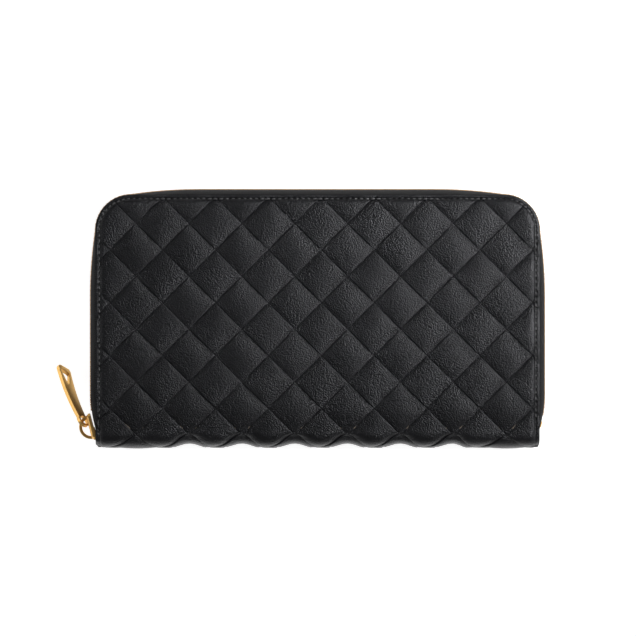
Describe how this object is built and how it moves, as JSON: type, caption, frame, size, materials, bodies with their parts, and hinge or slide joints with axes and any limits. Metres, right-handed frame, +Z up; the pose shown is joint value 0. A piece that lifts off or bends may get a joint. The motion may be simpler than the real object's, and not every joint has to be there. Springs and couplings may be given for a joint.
{
  "type": "zip around wallet",
  "caption": "Long wallet in woven black leather with a metal zip on the sides opposite the spine, gusseted bill compartments, card tiers and a zipped coin pouch.",
  "frame": {"origin": "centre of the back cover's flat outer face, which the wallet rests on", "axes": "+X along the spine, +Y from the spine to the zipped edge opposite it, +Z up through the front cover"},
  "size_m": [0.2064, 0.1096, 0.025],
  "materials": {
    "woven_leather": "semi-matt black nappa with fine grain",
    "lining_leather": "smooth matt black leather",
    "zip_tape": "black twill tape",
    "thread": "waxed black thread",
    "board": "stiff bonded board",
    "gold_metal": "polished gold plating"
  },
  "bodies": {
    "back_cover": {"back_woven_panel": "woven_leather", "back_stiffener": "board", "back_lining": "lining_leather", "back_slip_pocket": "lining_leather", "back_card_tier_top": "lining_leather", "back_card_tier_middle": "lining_leather", "back_card_tier_low": "lining_leather", "back_card_stitching": "thread", "back_edge_stitching": "thread", "back_zip_tape": "zip_tape", "back_zip_teeth": "gold_metal", "back_zip_stop": "gold_metal"},
    "spine": {"spine_woven_panel": "woven_leather", "spine_lining": "lining_leather", "coin_wall_back": "lining_leather", "coin_wall_front": "lining_leather", "coin_seam_band": "lining_leather", "coin_tape_back": "zip_tape", "coin_tape_front": "zip_tape", "coin_teeth_back": "gold_metal", "coin_teeth_front": "gold_metal", "coin_zip_stop": "gold_metal", "back_gusset_left": "lining_leather", "back_gusset_right": "lining_leather", "front_gusset_left": "lining_leather", "front_gusset_right": "lining_leather"},
    "front_cover": {"front_woven_panel": "woven_leather", "front_stiffener": "board", "front_lining": "lining_leather", "front_slip_pocket": "lining_leather", "front_card_tier_top": "lining_leather", "front_card_tier_middle": "lining_leather", "front_card_tier_low": "lining_leather", "front_card_stitching": "thread", "front_edge_stitching": "thread", "front_zip_tape": "zip_tape", "front_zip_teeth": "gold_metal", "front_zip_stop": "gold_metal"},
    "zip_slider": {"zip_slider_body": "gold_metal", "zip_slider_bridge": "gold_metal"},
    "zip_pull": {"zip_pull_tab": "gold_metal"},
    "coin_slider": {"coin_slider_body": "gold_metal", "coin_slider_bridge": "gold_metal"},
    "coin_pull": {"coin_pull_tab": "gold_metal"}
  },
  "joints": [
    {"name": "spine_tilt", "type": "hinge", "parent": "back_cover", "child": "spine", "pos_m": [0, -0.045, 0], "axis": [1, 0, 0], "range_deg": [0, 25], "deforming": ["back_gusset_left", "back_gusset_right"]},
    {"name": "cover_open", "type": "hinge", "parent": "spine", "child": "front_cover", "pos_m": [0, -0.045, 0.025], "axis": [1, 0, 0], "range_deg": [0, 25], "deforming": ["front_gusset_left", "front_gusset_right"]},
    {"name": "zip_run", "type": "hinge", "parent": "back_cover", "child": "zip_slider", "pos_m": [0.02035, -0.02231, 0.0125], "axis": [0, 0, -1], "range_deg": [0, 14.8], "deforming": ["back_zip_teeth", "front_zip_teeth"]},
    {"name": "pull_swing", "type": "hinge", "parent": "zip_slider", "child": "zip_pull", "pos_m": [-0.09547, -0.04432, 0.0125], "axis": [0, 0, 1], "range_deg": [-6, 95]},
    {"name": "coin_zip_run", "type": "slide", "parent": "spine", "child": "coin_slider", "axis": [1, 0, 0], "range_m": [0, 0.142], "deforming": ["coin_teeth_back", "coin_teeth_front"]},
    {"name": "coin_pull_swing", "type": "hinge", "parent": "coin_slider", "child": "coin_pull", "pos_m": [-0.074, 0.02795, 0.0125], "axis": [0, 0, 1], "range_deg": [0, 110]}
  ],
  "couplings": [
    {"joint": "spine_tilt", "follows": "cover_open", "ratio": 1}
  ]
}
